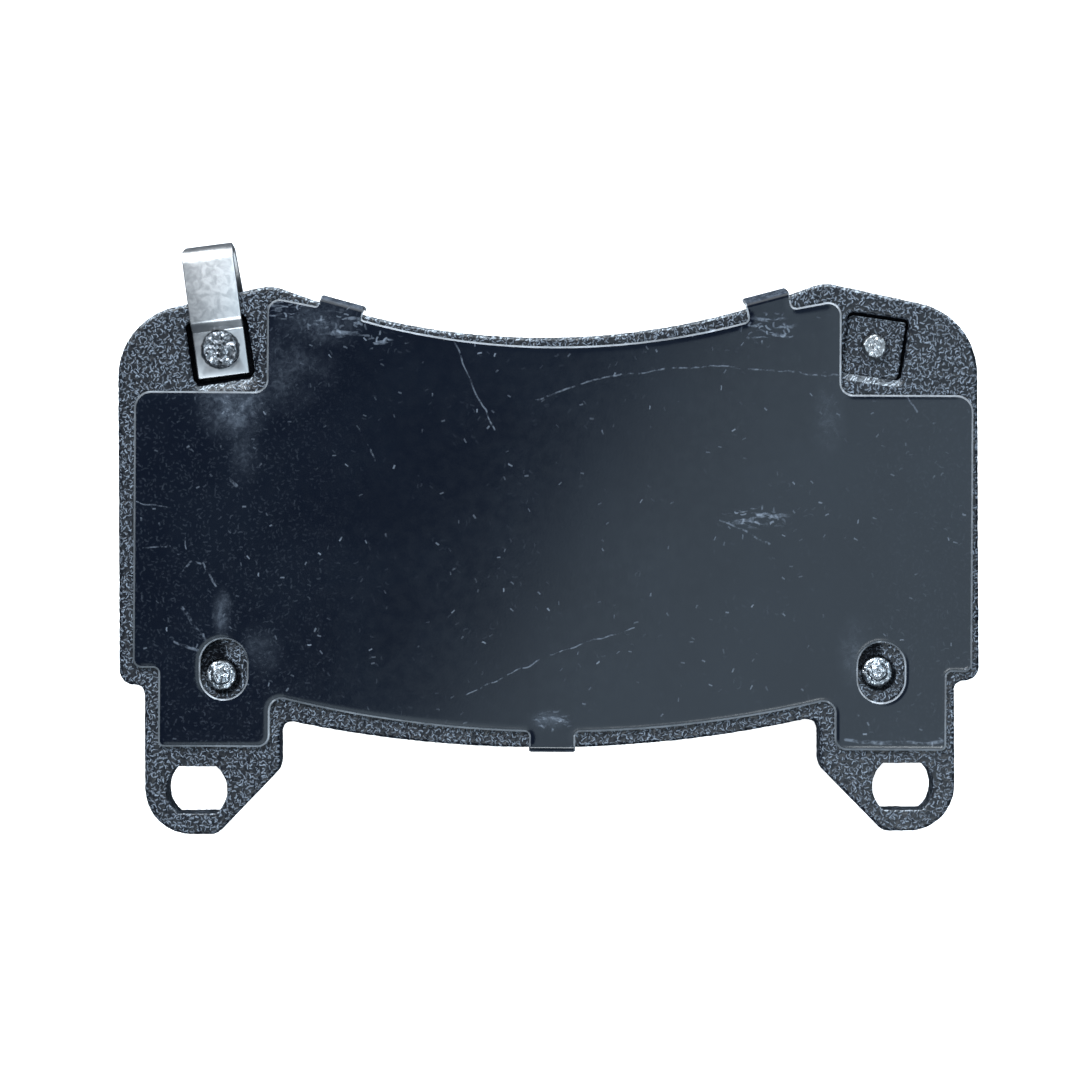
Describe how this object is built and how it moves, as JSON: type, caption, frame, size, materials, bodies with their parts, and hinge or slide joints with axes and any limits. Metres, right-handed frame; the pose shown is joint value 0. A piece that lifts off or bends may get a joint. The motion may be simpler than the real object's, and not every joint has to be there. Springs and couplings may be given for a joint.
{
  "type": "disc brake pad",
  "caption": "Front disc brake pad: steel backing plate with hanging lugs, split friction material, clipped rubber-coated noise shim and a riveted spring wear indicator.",
  "frame": {"origin": "on the friction face, under the middle of the pad's box", "axes": "+X along the pad's length, +Y towards the hub, +Z from the disc towards the caliper's pistons"},
  "size_m": [0.1436, 0.099, 0.019],
  "materials": {
    "plate_coat": "wrinkled satin black powder coat",
    "underlayer": "matte moulded fibre composite",
    "friction": "matte ground composite with metal and graphite flecks",
    "shim_adhesive": "satin",
    "shim_steel": "bare cut and bent steel",
    "shim_rubber": "smooth gloss, lightly scratched and dusty",
    "spring_steel": "satin rolled",
    "stud_steel": "bright, pitted by pressing and riveting"
  },
  "bodies": {
    "root": {"backing_plate": "plate_coat", "underlayer": "underlayer", "friction_block_left": "friction", "friction_block_right": "friction", "shim_inner_coat": "shim_adhesive", "shim_core": "shim_steel", "shim_outer_coat": "shim_rubber", "wear_indicator": "spring_steel", "wear_indicator_rivet": "stud_steel", "spare_stud": "stud_steel", "locating_pin_left": "stud_steel", "locating_pin_right": "stud_steel"}
  },
  "joints": []
}
